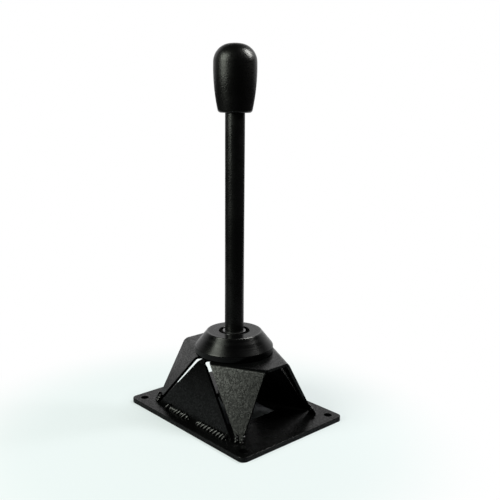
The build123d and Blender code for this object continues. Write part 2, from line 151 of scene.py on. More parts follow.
def coat_grain_group():
    """Height = pebbles (one minus cell distance) and noise in their shares; Fleck = peaks of a noise.

    Shine, picked by chance, = 1 on one grain in four, 0 on about half and between on the rest.
    """
    group, start, end = new_group("coat_grain", {"Vector": None, "Grain": 0.8 * MM},
                                  ["Height", "Fleck", "Shine"])
    scale = maths(group, "DIVIDE", 1.0, start.outputs["Grain"])
    cells = put(group, "ShaderNodeTexVoronoi", {"Smoothness": 0.6}, feature="SMOOTH_F1")
    noise = put(group, "ShaderNodeTexNoise", {"Detail": 1.0, "Roughness": 0.5})
    fleck = put(group, "ShaderNodeTexNoise", {"Detail": 0.0})
    flakes = put(group, "ShaderNodeTexVoronoi")
    chance = put(group, "ShaderNodeSeparateColor")
    finer = maths(group, "MULTIPLY", scale, NOISE_FINENESS)
    join(group, (start.outputs["Vector"], cells.inputs["Vector"]), (scale, cells.inputs["Scale"]),
         (start.outputs["Vector"], noise.inputs["Vector"]), (finer, noise.inputs["Scale"]),
         (start.outputs["Vector"], fleck.inputs["Vector"]), (scale, fleck.inputs["Scale"]),
         (start.outputs["Vector"], flakes.inputs["Vector"]), (scale, flakes.inputs["Scale"]),
         (flakes.outputs["Color"], chance.inputs["Color"]))
    pebbles = maths(group, "SUBTRACT", 1.0, cells.outputs["Distance"], clamp=True)
    rough = maths(group, "MULTIPLY", noise.outputs["Fac"], 1 - PEBBLE_SHARE)
    join(group, (maths(group, "MULTIPLY_ADD", pebbles, PEBBLE_SHARE, rough), end.inputs["Height"]),
         (spread(group, fleck.outputs["Fac"], low=0.62, high=0.74), end.inputs["Fleck"]),
         (spread(group, chance.outputs["Red"], low=0.55, high=0.75), end.inputs["Shine"]))
    return group


coat_grain = coat_grain_group()
print("group", coat_grain.name, "with", len(coat_grain.nodes), "nodes")

# %% [markdown]
# ## Uneven patches
#
# No finish is the same everywhere. Hands leave a thin film, an oven bakes one side a
# little longer, a cloth polishes a corner. A broad noise broken by a finer one gives
# blotches with ragged rims. `Cover` says how much of the surface they take. The same
# group serves as dull blotches, as smudges and as slow colour drift, only with other
# values.

# %% Group: patches
FINE_SHARE = 0.25
FINE_RATIO = 7.0


def patches_group():
    """Mask = smooth step of (broad noise + a quarter of a finer noise) above 1 - Cover.

    The finer noise is one half on average, so the level rises by half of its share.
    """
    group, start, end = new_group("patches", {"Vector": None, "Size": 20 * MM, "Cover": 0.5}, ["Mask"])
    scale = maths(group, "DIVIDE", 1.0, start.outputs["Size"])
    broad = put(group, "ShaderNodeTexNoise", {"Detail": 2.0, "Roughness": 0.5})
    fine = put(group, "ShaderNodeTexNoise", {"Detail": 4.0, "Roughness": 0.7})
    finer = maths(group, "MULTIPLY", scale, FINE_RATIO)
    join(group, (start.outputs["Vector"], broad.inputs["Vector"]), (scale, broad.inputs["Scale"]),
         (start.outputs["Vector"], fine.inputs["Vector"]), (finer, fine.inputs["Scale"]))
    both = maths(group, "MULTIPLY_ADD", fine.outputs["Fac"], FINE_SHARE, broad.outputs["Fac"])
    level = maths(group, "SUBTRACT", 1 + FINE_SHARE / 2, start.outputs["Cover"])
    above = maths(group, "SUBTRACT", both, level)
    join(group, (spread(group, above, low=-0.12, high=0.12), end.inputs["Mask"]))
    return group


patches = patches_group()
print("group", patches.name, "with", len(patches.nodes), "nodes")

# %% [markdown]
# ## Turning marks
#
# A part made on a lathe carries one long spiral scratch, too fine to count, which
# reads as rings round the axis. A noise that only sees the distance from the axis and
# the height, and not the angle, gives exactly that: every ring has one brightness.
# A second, coarser reading of the same coordinates makes some bands duller.

# %% Group: turning marks
def turning_marks_group():
    """Rings round Z: noise of (distance from the axis / Pitch, height / Pitch), angle left out."""
    group, start, end = new_group("turning_marks", {"Vector": None, "Pitch": 0.3 * MM},
                                  ["Height", "Band"])
    parts = put(group, "ShaderNodeSeparateXYZ")
    join(group, (start.outputs["Vector"], parts.inputs["Vector"]))
    x, y, z = parts.outputs
    from_axis = hypotenuse(group, x, y)
    ring = put(group, "ShaderNodeCombineXYZ")
    join(group, (maths(group, "DIVIDE", from_axis, start.outputs["Pitch"]), ring.inputs["X"]),
         (maths(group, "DIVIDE", z, start.outputs["Pitch"]), ring.inputs["Y"]))
    fine = put(group, "ShaderNodeTexNoise", {"Scale": 1.0, "Detail": 2.0, "Roughness": 0.6},
               noise_dimensions="2D")
    band = put(group, "ShaderNodeTexNoise", {"Scale": 0.12, "Detail": 2.0}, noise_dimensions="2D")
    join(group, (ring.outputs[0], fine.inputs["Vector"]), (ring.outputs[0], band.inputs["Vector"]),
         (fine.outputs["Fac"], end.inputs["Height"]),
         (spread(group, band.outputs["Fac"], low=0.35, high=0.65), end.inputs["Band"]))
    return group


turning_marks = turning_marks_group()
print("group", turning_marks.name, "with", len(turning_marks.nodes), "nodes")

# %% [markdown]
# ## Burnished edges
#
# Hands and cloths rub the corners of a part first, so they shine more than its faces.
# On a turned part each corner is a ring, known by its radius and its height. The mask
# is 1 on the ring and fades out at the given width from it.

# %% Group: burnished ring
def burnished_ring_group():
    """Mask = smooth fall from 1 to 0 of (distance to the ring (Radius, Height) round Z / Width)."""
    group, start, end = new_group("burnished_ring", {"Vector": None, "Radius": 20 * MM,
                                  "Height": 0.0, "Width": 1.0 * MM}, ["Mask"])
    parts = put(group, "ShaderNodeSeparateXYZ")
    join(group, (start.outputs["Vector"], parts.inputs["Vector"]))
    x, y, z = parts.outputs
    beside = maths(group, "SUBTRACT", hypotenuse(group, x, y), start.outputs["Radius"])
    above = maths(group, "SUBTRACT", z, start.outputs["Height"])
    share = maths(group, "DIVIDE", hypotenuse(group, beside, above), start.outputs["Width"])
    join(group, (spread(group, share, low=0.4, high=1.0, to_low=1.0, to_high=0.0), end.inputs["Mask"]))
    return group


burnished_ring = burnished_ring_group()
print("group", burnished_ring.name, "with", len(burnished_ring.nodes), "nodes")

# %% [markdown]
# ## Dust
#
# Black satin shows every speck. Dust settles on what faces up, so the mask is the
# upward part of the surface's own normal times a sparse noise. It is kept very thin:
# a few points per square centimetre that lift the black to a dark grey.

# %% Group: dust
def dust_group():
    """Mask = (how far the surface faces up) x (rare peaks of a fine noise)."""
    group, start, end = new_group("dust", {"Vector": None, "Speck": 0.5 * MM}, ["Mask"])
    scale = maths(group, "DIVIDE", 1.0, start.outputs["Speck"])
    specks = put(group, "ShaderNodeTexNoise", {"Detail": 2.0, "Roughness": 0.8})
    up = put(group, "ShaderNodeSeparateXYZ")
    join(group, (put(group, "ShaderNodeNewGeometry").outputs["Normal"], up.inputs["Vector"]),
         (start.outputs["Vector"], specks.inputs["Vector"]), (scale, specks.inputs["Scale"]))
    upward = spread(group, up.outputs["Z"], low=0.3, high=0.95)
    rare = spread(group, specks.outputs["Fac"], low=0.66, high=0.78)
    join(group, (maths(group, "MULTIPLY", upward, rare), end.inputs["Mask"]))
    return group


dust = dust_group()
print("group", dust.name, "with", len(dust.nodes), "nodes")

# %% [markdown]
# ## One recipe for coats, one for metals
#
# Most pieces here wear one of two kinds of skin. A *coat* hides the metal: its colour
# comes from diffuse light, its shine from the clear binder on top. A bare *metal* has
# no colour of its own, only a tinted mirror that is more or less rough. Both recipes
# start at the same place, the Object coordinates, so a pattern keeps its true size in
# millimetres on every piece and stays put when the lever moves. Dust lies on the
# colour of a coat, so a small helper mixes it in.

# %% Recipe: coated surfaces
DUST_COLOUR = (0.04, 0.04, 0.038)
COAT_DRIFT = 1.35
FLECK_POLISH = 0.08


def start_material(name):
    """Material with a Principled shader; returns tree, shader and Object coordinates."""
    material = bpy.data.materials.new(name)
    material.use_nodes = True
    tree = material.node_tree
    shader = tree.nodes["Principled BSDF"]
    return material, tree, shader, put(tree, "ShaderNodeTexCoord").outputs["Object"]


def mix_colours(tree, factor, dark, light):
    """Colour between two plain ones by a mask."""
    node = put(tree, "ShaderNodeMix", data_type="RGBA")
    node.inputs["A"].default_value = (*dark, 1.0)
    node.inputs["B"].default_value = (*light, 1.0)
    tree.links.new(factor, node.inputs["Factor"])
    return node.outputs["Result"]


def add_relief(tree, shader, *layers):
    """Bump nodes in a chain, one for each (height socket, depth in metres)."""
    normal = None
    for height, depth in layers:
        bump = put(tree, "ShaderNodeBump", {"Strength": 1.0, "Distance": depth})
        tree.links.new(height, bump.inputs["Height"])
        if normal is not None:
            tree.links.new(normal, bump.inputs["Normal"])
        normal = bump.outputs["Normal"]
    tree.links.new(normal, shader.inputs["Normal"])


def add_dust(tree, shader, body, where, speck, amount):
    """Base colour = body, with the dust's own colour mixed in by the dust mask x amount."""
    settled = place(tree, dust, where, Speck=speck)["Mask"]
    dusty = put(tree, "ShaderNodeMix", {"B": (*DUST_COLOUR, 1.0)}, data_type="RGBA")
    join(tree, (body, dusty.inputs["A"]),
         (maths(tree, "MULTIPLY", settled, amount), dusty.inputs["Factor"]),
         (dusty.outputs["Result"], shader.inputs["Base Color"]))


def coated(name, tone, grain, depth, gloss, specular, dustiness=0.2, sparkle=0.0):
    """Paint or powder: two close tones by patch, pebbled relief, uneven gloss, a little dust.

    gloss is (roughness where polished, roughness where dull); sparkle is the weight of a
    clear coat that lies only on the grains that flowed well.
    """
    material, tree, shader, where = start_material(name)
    pebbles = place(tree, coat_grain, where, Grain=grain)
    blotch = place(tree, patches, where, Size=26 * MM, Cover=0.5)["Mask"]
    body = mix_colours(tree, blotch, tone, [c * COAT_DRIFT for c in tone])
    add_dust(tree, shader, body, where, 0.55 * MM, dustiness)
    dull = maths(tree, "MULTIPLY_ADD", blotch, gloss[1] - gloss[0], gloss[0])
    rough = maths(tree, "MULTIPLY_ADD", pebbles["Fleck"], -FLECK_POLISH, dull)
    join(tree, (rough, shader.inputs["Roughness"]),
         (maths(tree, "MULTIPLY", pebbles["Shine"], sparkle), shader.inputs["Coat Weight"]))
    shader.inputs["Coat Roughness"].default_value = gloss[0]
    shader.inputs["Specular IOR Level"].default_value = specular
    add_relief(tree, shader, (pebbles["Height"], depth))
    return material


black_powder_coat = coated("black_powder_coat", (0.0010, 0.0011, 0.0011), grain=1.0 * MM,
                           depth=0.10 * MM, gloss=(0.22, 0.28), specular=0.11, sparkle=0.35)
lever_coat = coated("lever_coat", (0.0022, 0.0023, 0.0023), grain=1.3 * MM,
                    depth=0.12 * MM, gloss=(0.26, 0.33), specular=0.31)
coated_weld = coated("coated_weld", (0.0020, 0.0020, 0.0021), grain=0.9 * MM,
                     depth=0.03 * MM, gloss=(0.12, 0.18), specular=0.40)
black_knob = coated("black_knob", (0.0014, 0.0014, 0.0014), grain=1.3 * MM,
                    depth=0.17 * MM, gloss=(0.29, 0.35), specular=0.255, dustiness=0.5)
print("coats:", black_powder_coat.name, lever_coat.name, coated_weld.name, black_knob.name)

# %% [markdown]
# ## The turned housing
#
# The cone is turned aluminium, anodised black. Anodising keeps the metal's own
# surface, so the lathe's rings stay visible through it as faint bands in the
# highlight, and the colour is a dye that sits deep and even. It is neither paint nor
# bare metal, so it has its own recipe: almost no diffuse colour, a satin mirror, and
# relief from the turning marks and from a very shallow etched grain. Its two corners
# are rubbed: the upper one draws the thin pale line that the photograph shows on the
# right.

# %% Material: black anodised aluminium
HOUSING_DRIFT = 1.5
HOUSING_DUST = 0.4
BLOTCH_DULLING = 0.03
CORNER_WIDTH = 1.6 * MM
UPPER_CORNER = {"Radius": 28.7 * MM, "Height": 91.4 * MM}
LOWER_CORNER = {"Radius": 41.2 * MM, "Height": 75.8 * MM}
UPPER_RUB = 0.45
LOWER_RUB = 0.10


def rubbed_corner(tree, where, corner, weight):
    """Weight on a ring-shaped corner of the housing, fading to 0 beside it."""
    mask = place(tree, burnished_ring, where, Width=CORNER_WIDTH, **corner)["Mask"]
    return maths(tree, "MULTIPLY", mask, weight)


def anodised(name, tone, gloss, specular):
    """Dyed metal: rings as relief and as bands of roughness, fine grain, blotches, thin dust."""
    material, tree, shader, where = start_material(name)
    rings = place(tree, turning_marks, where, Pitch=0.45 * MM)
    blotch = place(tree, patches, where, Size=18 * MM, Cover=0.45)["Mask"]
    grain = place(tree, coat_grain, where, Grain=0.5 * MM)
    body = mix_colours(tree, blotch, tone, [c * HOUSING_DRIFT for c in tone])
    add_dust(tree, shader, body, where, 0.5 * MM, HOUSING_DUST)
    banded = maths(tree, "MULTIPLY_ADD", rings["Band"], gloss[1] - gloss[0], gloss[0])
    rubbed = maths(tree, "MAXIMUM", rubbed_corner(tree, where, UPPER_CORNER, UPPER_RUB),
                   rubbed_corner(tree, where, LOWER_CORNER, LOWER_RUB))
    dull = maths(tree, "MULTIPLY_ADD", blotch, BLOTCH_DULLING, banded)
    join(tree, (dull, shader.inputs["Roughness"]), (rubbed, shader.inputs["Coat Weight"]))
    shader.inputs["Specular IOR Level"].default_value = specular
    shader.inputs["Coat Roughness"].default_value = gloss[0]
    add_relief(tree, shader, (rings["Height"], 0.007 * MM), (grain["Height"], 0.012 * MM))
    return material


black_anodised = anodised("black_anodised", (0.0008, 0.0008, 0.0009), gloss=(0.20, 0.26),
                          specular=0.19)
print("turned housing:", black_anodised.name)

# %% [markdown]
# ## Bare metals
#
# The small parts inside are zinc plate, bearing steel, phosphated steel, spring steel,
# bronze and brass. They share a recipe: a metallic shader whose roughness comes from
# turning marks and from finger smudges, and whose tint drifts between two close tones,
# as plating does. The ball and the ring above it are given dark tones, because the
# photograph shows only two dim arcs of them in a nearly black bore. The bushes are a
# plain polymer: the same rings and smudges, but no metal.

# %% Materials: bare metals and the bushes
SMUDGE_DULLING = 0.12


def bare_metal(name, tone, other, gloss, pitch, depth, metallic=1.0):
    """Metal: tint between two tones by patch, fine rings, smudges that dull the mirror."""
    material, tree, shader, where = start_material(name)
    rings = place(tree, turning_marks, where, Pitch=pitch)
    drift = place(tree, patches, where, Size=6 * MM, Cover=0.5)["Mask"]
    smudge = place(tree, patches, where, Size=3 * MM, Cover=0.35)["Mask"]
    join(tree, (mix_colours(tree, drift, tone, other), shader.inputs["Base Color"]))
    banded = maths(tree, "MULTIPLY_ADD", rings["Band"], gloss[1] - gloss[0], gloss[0])
    join(tree, (maths(tree, "MULTIPLY_ADD", smudge, SMUDGE_DULLING, banded), shader.inputs["Roughness"]))
    shader.inputs["Metallic"].default_value = metallic
    add_relief(tree, shader, (rings["Height"], depth))
    return material


# tone, other tone, (roughness where bright, where dull), distance and depth of the rings
METAL_RECIPES = {
    "zinc_plated_steel": ((0.50, 0.51, 0.52), (0.56, 0.54, 0.47), (0.24, 0.34), 0.25 * MM, 0.004 * MM),
    "bearing_steel": ((0.075, 0.075, 0.080), (0.055, 0.055, 0.058), (0.22, 0.32), 0.15 * MM, 0.001 * MM),
    "phosphated_steel": ((0.035, 0.035, 0.038), (0.060, 0.058, 0.055), (0.42, 0.55),
                         0.30 * MM, 0.006 * MM),
    "spring_steel": ((0.045, 0.045, 0.052), (0.075, 0.065, 0.055), (0.30, 0.40), 0.35 * MM, 0.004 * MM),
    "bright_spring_steel": ((0.24, 0.24, 0.245), (0.17, 0.17, 0.175), (0.26, 0.36),
                            0.30 * MM, 0.003 * MM),
    "liner_bronze": ((0.42, 0.27, 0.13), (0.33, 0.22, 0.12), (0.32, 0.42), 0.20 * MM, 0.003 * MM),
    "insert_brass": ((0.70, 0.50, 0.21), (0.60, 0.44, 0.20), (0.22, 0.32), 0.40 * MM, 0.006 * MM),
}
metals = {name: bare_metal(name, *recipe) for name, recipe in METAL_RECIPES.items()}
metals["bush_polymer"] = bare_metal("bush_polymer", (0.030, 0.030, 0.031), (0.040, 0.040, 0.040),
                                    (0.42, 0.52), 0.30 * MM, 0.010 * MM, metallic=0.0)
print("bare surfaces:", ", ".join(metals))

# %% [markdown]
# ## Dress the solids
#
# The record names a material slot for every solid. The finish goes on through the
# object's own slots, so the CAD mesh itself is never touched. The three weld solids
# get theirs too, but they are rows of plain balls: real weld metal gets its own
# surface further down, which takes their place.

# %% Put the finishes on the CAD solids
finishes = {"black_powder_coat": black_powder_coat, "lever_coat": lever_coat,
            "coated_weld": coated_weld, "black_knob": black_knob,
            "black_anodised": black_anodised, **metals}


def dress(piece, material):
    """Gives every slot of an object the material, on the object and not on its mesh."""
    for slot in piece.material_slots:
        slot.link = "OBJECT"
        slot.material = material


slot_of = {part["node"]: part["material_slot"] for part in frame["record"]["subparts"]}
for node_name, slot_name in slot_of.items():
    dress(nodes[node_name], finishes[slot_name])
print("dressed", len(slot_of), "solids in", len(set(slot_of.values())), "finishes")

# %% [markdown]
# ## Weld beads
#
# A bead is a string of small pools, each frozen on the rim of the one before, like a
# fallen stack of coins. Seen closely the ripples are crescents: they lag behind at
# the toes and run ahead in the middle. A bead could be sculpted or made of balls, but
# as a surface it is one formula: a tube along the joint whose radius rises and falls.
# Inside a pool the radius is round and between two pools it falls to a sharp crease,
# and |cos| has just that shape. The part of the tube inside the steel is kept thin, so
# that nothing shows on the other side of the sheet.

# %% Weld beads as rippled tubes: meshes
def ring_quads(count, around, closed=False):
    """Quads between neighbouring rings of points; closed also joins the last ring to the first."""
    i = np.arange(count if closed else count - 1)[:, None]
    j = np.arange(around)[None, :]
    i_next, j_next = (i + 1) % count, (j + 1) % around
    corners = [i * around + j, i * around + j_next, i_next * around + j_next, i_next * around + j]
    return np.stack(corners, axis=-1).reshape(-1, 4).tolist()


def closed_tube(rings, first_pole, last_pole):
    """Vertices and faces of a tube of rings (n, m, 3) closed by a fan to a pole at each end."""
    count, around = rings.shape[:2]
    points = np.vstack([rings.reshape(-1, 3), first_pole, last_pole])
    j = np.arange(around)
    k = (j + 1) % around
    last_ring = (count - 1) * around
    first_fan = np.stack([k, j, np.full(around, count * around)], axis=-1)
    last_fan = np.stack([last_ring + j, last_ring + k, np.full(around, count * around + 1)], axis=-1)
    return points, ring_quads(count, around) + first_fan.tolist() + last_fan.tolist()


def sweep_rings(path, radius, angle, middle, side):
    """Rings of points: path + radius x (cosine of the angle x middle + sine of it x side)."""
    spokes = np.cos(angle)[..., None] * middle + np.sin(angle)[..., None] * side
    return path + radius[..., None] * spokes


# %% [markdown]
# ## The bead's formula
#
# Four small functions shape the radius. The phase says where in its pool a point lies,
# and the ripple turns it into pools and creases. The bell keeps all of that to the side
# that shows. The face flattens a bead that fills a corner: a round tube would stand
# proud of it, while real weld metal pulls nearly straight from one sheet to the other.

# %% Weld beads as rippled tubes: the radius
OPEN_HALF = 0.31 * np.pi
FLANK_SOFT = 0.07
LEAST_COSINE = 0.55
POOL_REACH = 0.55
STEPS_PER_POOL = 18
STEPS_AROUND = 28


def pool_phase(along, angle, lean, bow):
    """Distance along the bead, made to run ahead with the angle (lean) and at the middle (bow)."""
    return along + lean * angle - bow * np.square(angle)


def ripple(phase, pitch, depth):
    """1 at the middle of a pool and 1 - depth between pools, by |cos|."""
    return 1 - depth * (1 - np.abs(np.cos(np.pi * phase / pitch)))


def bell(angle):
    """1 over the bead's open side and 0 over the part inside the steel, with soft flanks."""
    return 1 / (1 + np.exp((np.abs(angle) - OPEN_HALF) / FLANK_SOFT))


def face(angle, flat):
    """Cosine to the power of -flat: 1 gives a straight face across the corner, 0 a round one."""
    return np.power(np.maximum(np.cos(angle), LEAST_COSINE), -flat)


def straight_bead(start, end, outward, size, buried, pools, lean, bow, depth, flat=0.0):
    """Bead from start to end; outward points out of the corner, along the bead's middle.

    Radius = round end x (buried + (size x pool size x face - buried) x bell) x ripple.
    pools lists the pools' relative sizes, and there is one pool for each. flat runs from
    0 for a round bead to 1 for one that fills its corner with a straight face.
    """
    start, end, outward = (np.array(v, float) for v in (start, end, outward))
    length = np.linalg.norm(end - start)
    forward = (end - start) / length
    side = np.cross(forward, outward)
    pitch = length / (len(pools) - 1)
    reach = POOL_REACH * pitch
    along = np.linspace(-reach, length + reach, STEPS_PER_POOL * (len(pools) + 1))[1:-1, None]
    angle = np.linspace(-np.pi, np.pi, STEPS_AROUND, endpoint=False)[None, :]
    past = np.clip(np.maximum(-along, along - length) / reach, 0, 1)
    phase = pool_phase(along, angle, lean, bow)
    which = np.clip(np.rint(phase / pitch).astype(int), 0, len(pools) - 1)
    swell = buried + (size * np.array(pools)[which] * face(angle, flat) - buried) * bell(angle)
    radius = np.sqrt(1 - np.square(past)) * swell * ripple(phase, pitch, depth * bell(angle))
    rings = sweep_rings(start + along[..., None] * forward, radius, angle, outward, side)
    return closed_tube(rings, start - reach * forward, end + reach * forward)


BALL_RINGS = 7
BALL_STEPS_AROUND = 12


def spatter(centres, radii):
    """Small balls of weld metal that landed beside a bead, each a sphere of rings and poles."""
    tilt = np.linspace(0, np.pi, BALL_RINGS + 2)[1:-1, None]
    turn = np.linspace(0, 2 * np.pi, BALL_STEPS_AROUND, endpoint=False)[None, :]
    level = np.sin(tilt)
    ball = np.stack([level * np.cos(turn), level * np.sin(turn), np.cos(tilt) + 0 * turn], axis=-1)
    return [closed_tube(centre + radius * ball, centre + [0, 0, radius], centre - [0, 0, radius])
            for centre, radius in zip(centres, radii)]


def piece_from(name, parts, material):
    """One smooth-shaded mesh object from several closed (points, faces).

    It prints the enclosed volume, which is only positive where the faces point outwards.
    """
    points, faces, count = [], [], 0
    for some_points, some_faces in parts:
        faces += [[count + v for v in loop] for loop in some_faces]
        points.append(some_points)
        count += len(some_points)
    points = np.vstack(points)
    mesh = bpy.data.meshes.new(name)
    mesh.from_pydata(points.tolist(), [], faces)
    mesh.polygons.foreach_set("use_smooth", np.ones(len(faces), bool))
    mesh.materials.append(material)
    mesh.calc_loop_triangles()
    corners = np.empty(len(mesh.loop_triangles) * 3, int)
    mesh.loop_triangles.foreach_get("vertices", corners)
    a, b, c = points[corners.reshape(-1, 3)].transpose(1, 0, 2)
    volume = np.einsum("ij,ij->", a, np.cross(b, c)) / 6
    piece = bpy.data.objects.new(name, mesh)
    bpy.context.scene.collection.objects.link(piece)
    print(name, len(mesh.loop_triangles), "triangles,", round(volume * 1e9), "cubic mm")
    return piece


# %% [markdown]
# ## Stitch welds along the side panels
#
# Two stitches hold each side panel's foot to the plate. They lie in the corner
# between the plate and the leaning sheet, so a bead's middle points out and up. The
# welder moved towards the front of the car, and the ripples lean that way where they
# climb the panel. The pools differ in size as the photograph shows them, with a thick
# one at each outer end. A few balls of spatter stuck to the panel above. The left side
# of the car is the mirror image of the right.

# %% Side panel welds
PLATE_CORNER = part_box("base_plate")[1]
PLATE_TOP = PLATE_CORNER.z
PANEL_FOOT_Y = 56.3 * MM
PANEL_LEAN = 11.5 / 64.2  # inwards over upwards
CORNER_INSET = 0.2 * MM
BEAD_RISE = 0.80
SPATTER_PER_STITCH = 5
SPATTER_HEIGHTS = (4.5 * MM, 10 * MM)
SPATTER_RADII = (0.30 * MM, 0.65 * MM)
REAR_POOLS = (1.34, 0.66, 0.78, 1.00, 1.04, 0.84, 1.12, 0.86)
FRONT_POOLS = (0.66, 0.98, 0.94, 1.02, 1.04, 1.00, 1.06, 1.04, 1.12, 1.30)
STITCHES = ((-42 * MM, -8 * MM, REAR_POOLS), (8 * MM, 53 * MM, FRONT_POOLS))
rng = np.random.default_rng(7)
side_beads = []
for side in (-1, 1):
    out_and_up = Vector((0, side, BEAD_RISE)).normalized()
    corner_y, corner_z = side * (PANEL_FOOT_Y - CORNER_INSET), PLATE_TOP + CORNER_INSET
    for x_from, x_to, pools in STITCHES:
        side_beads.append(straight_bead(
            (x_from, corner_y, corner_z), (x_to, corner_y, corner_z), out_and_up,
            size=3.8 * MM, buried=1.0 * MM, pools=pools, lean=-side * 2.4 * MM, bow=0.3 * MM,
            depth=0.62, flat=0.7))
        x = rng.uniform(x_from, x_to, SPATTER_PER_STITCH)
        z = rng.uniform(*SPATTER_HEIGHTS, SPATTER_PER_STITCH)
        y = side * (PANEL_FOOT_Y - PANEL_LEAN * z)
        radii = rng.uniform(*SPATTER_RADII, SPATTER_PER_STITCH)
        side_beads += spatter(np.stack([x, y, PLATE_TOP + z], axis=-1), radii)
side_panel_weld_beads = piece_from("side_panel_weld_beads", side_beads, coated_weld)
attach(side_panel_weld_beads, "base")
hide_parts("side_panel_welds")

# %% [markdown]
# ## Short welds at the legs' tips
#
# Each leg stands on a narrow tip. Two short beads stand side by side in front of it:
# they start on the plate and climb the leaning leg near its two edges, spreading a
# little as they rise. That makes eight beads in all, one shape in four mirrored
# corners. The leg's fold line gives the directions along its tip and away from it.

# %% Leg foot welds
LEG_FOOT = Vector((67.9 * MM, 52.2 * MM, PLATE_TOP))
FOLD_X, FOLD_Y = 57.2, 28.7  # run of the leg's fold line, in mm
LEG_ALONG = Vector((FOLD_X, -FOLD_Y, 0.0)).normalized()
LEG_OUTWARD = Vector((FOLD_Y, FOLD_X, 0.0)).normalized()
UP = Vector((0, 0, 1))
BEAD_ASIDE = 2.7 * MM
BEAD_SUNK = 0.1 * MM
CLIMB_FROM, CLIMB_TO = 0.4 * MM, 6.6 * MM
CLIMB_SPREAD, CLIMB_LEAN, CLIMB_RISE = 0.18, 0.40, 0.86
MIDDLE_SPREAD = 0.15


def foot_bead_line(edge):
    """Start, end and outward direction of the bead at one edge (-1 or 1) of the +X +Y leg's tip."""
    base = LEG_FOOT + edge * BEAD_ASIDE * LEG_ALONG - BEAD_SUNK * LEG_OUTWARD
    climb = CLIMB_SPREAD * edge * LEG_ALONG - CLIMB_LEAN * LEG_OUTWARD + CLIMB_RISE * UP
    climb.normalize()
    away = (MIDDLE_SPREAD * edge * LEG_ALONG + LEG_OUTWARD).normalized()
    away = (away - away.dot(climb) * climb).normalized()
    return base + CLIMB_FROM * climb, base + CLIMB_TO * climb, away


foot_beads = []
for mirror_x in (-1, 1):
    for mirror_y in (-1, 1):
        for edge in (-1, 1):
            line = [Vector((v.x * mirror_x, v.y * mirror_y, v.z)) for v in foot_bead_line(edge)]
            foot_beads.append(straight_bead(
                *line, size=2.8 * MM, buried=1.5 * MM, pools=(1.15, 1.0, 0.90),
                lean=edge * 0.8 * MM, bow=0.3 * MM, depth=0.24))
leg_foot_weld_beads = piece_from("leg_foot_weld_beads", foot_beads, coated_weld)
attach(leg_foot_weld_beads, "base")
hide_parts("leg_foot_welds")

# %% [markdown]
# ## The weld round the lever's eye
#
# At its lower end the lever is coped over a cross tube. The seam between two tubes
# that meet at a right angle is a saddle, so the bead's path is a circle that rises
# and falls with the cross tube's roundness.

# %% Eye weld
TUBE_R = 10 * MM
EYE_R = 12 * MM
EYE_Z = 21.5 * MM
MIDDLE_RISE = 0.9
SEAM_STEPS_PER_POOL = 14
SEAM_STEPS_AROUND = 24


def saddle_bead(size, buried, pools, lean, bow, depth):
    """Closed bead on the saddle (TUBE_R cos t, TUBE_R sin t, EYE_Z + root(EYE_R^2 - x^2)).

    The bead's middle points about half outwards and half up, and its radius ripples as before.
    """
    turn = np.linspace(0, 2 * np.pi, SEAM_STEPS_PER_POOL * pools, endpoint=False)[:, None]
    angle = np.linspace(-np.pi, np.pi, SEAM_STEPS_AROUND, endpoint=False)[None, :]
    x, y = TUBE_R * np.cos(turn), TUBE_R * np.sin(turn)
    path = np.stack([x, y, EYE_Z + np.sqrt(EYE_R**2 - x**2)], axis=-1)
    outward = np.stack([np.cos(turn), np.sin(turn), 0 * turn], axis=-1)
    tangent = np.roll(path, -1, axis=0) - np.roll(path, 1, axis=0)
    tangent /= np.linalg.norm(tangent, axis=-1, keepdims=True)
    middle = outward + np.array([0.0, 0.0, MIDDLE_RISE])
    middle -= np.sum(middle * tangent, axis=-1, keepdims=True) * tangent
    middle /= np.linalg.norm(middle, axis=-1, keepdims=True)
    side = np.cross(tangent, middle)
    pitch = 2 * np.pi * TUBE_R / pools
    phase = pool_phase(TUBE_R * turn, angle, lean, bow)
    radius = (buried + (size - buried) * bell(angle)) * ripple(phase, pitch, depth * bell(angle))
    rings = sweep_rings(path, radius, angle, middle, side)
    return rings.reshape(-1, 3), ring_quads(*rings.shape[:2], closed=True)


eye_bead = saddle_bead(size=3.0 * MM, buried=1.2 * MM, pools=14, lean=0.8 * MM, bow=0.4 * MM, depth=0.30)
selector_eye_weld_bead = piece_from("selector_eye_weld_bead", [eye_bead], coated_weld)
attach(selector_eye_weld_bead, "lever")
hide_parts("selector_eye_weld")

# %% [markdown]
# ## The table
#
# The photograph was taken on a white table whose front edge lies just below the
# picture; beyond it the room is dim. That is why the black metal looks so deep: what
# faces the photographer mirrors the room. The table is one flat sheet that starts at
# that edge and widens towards the back.

# %% Table
AWAY_DEGREES = 137.7


def table(front, front_half, back, back_half):
    """Flat quad that widens to the back; front and back lie along the camera's view."""
    turn = math.radians(AWAY_DEGREES)
    away = np.array([math.cos(turn), math.sin(turn), 0.0])
    right = np.array([math.sin(turn), -math.cos(turn), 0.0])
    corners = [u * away + v * right for u, v in ((front, -front_half), (front, front_half),
                                                 (back, back_half), (back, -back_half))]
    mesh = bpy.data.meshes.new("table")
    mesh.from_pydata([tuple(c) for c in corners], [], [(0, 1, 2, 3)])
    piece = bpy.data.objects.new("table", mesh)
    bpy.context.scene.collection.objects.link(piece)
    return piece


stage_table = table(front=-0.215, front_half=0.26, back=3.0, back_half=1.5)
print("table from", tuple(round(v, 3) for v in stage_table.data.vertices[0].co))

# %% [markdown]
# ## The table's white
#
# The table's diffuse colour catches the soft shadows, and a share of plain emission,
# seen only by the camera and in reflections, keeps it pale. Far out the emission takes
# over, as in the photograph, where the ground fades to pure white. Under the plate
# there is none, because the real table lies in deep shadow there, and the diffuse colour
# is cut to about a third there as well: a painted shade. The photographer
# whitened the picture's ground afterwards, and the metal gives that away: it mirrors a
# greyer table. So reflections see only a share of the emission, little of it close to
# the object and most of it far out, where the table meets the sweep.

# %% Table paint
SWEEP_LEVEL = 0.81
# Share of the table's diffuse colour kept under the plate: a painted shade.
UNDER_PLATE_PAINTED_SHADE = 0.35
UNDER_PLATE_EDGE = 8 * MM


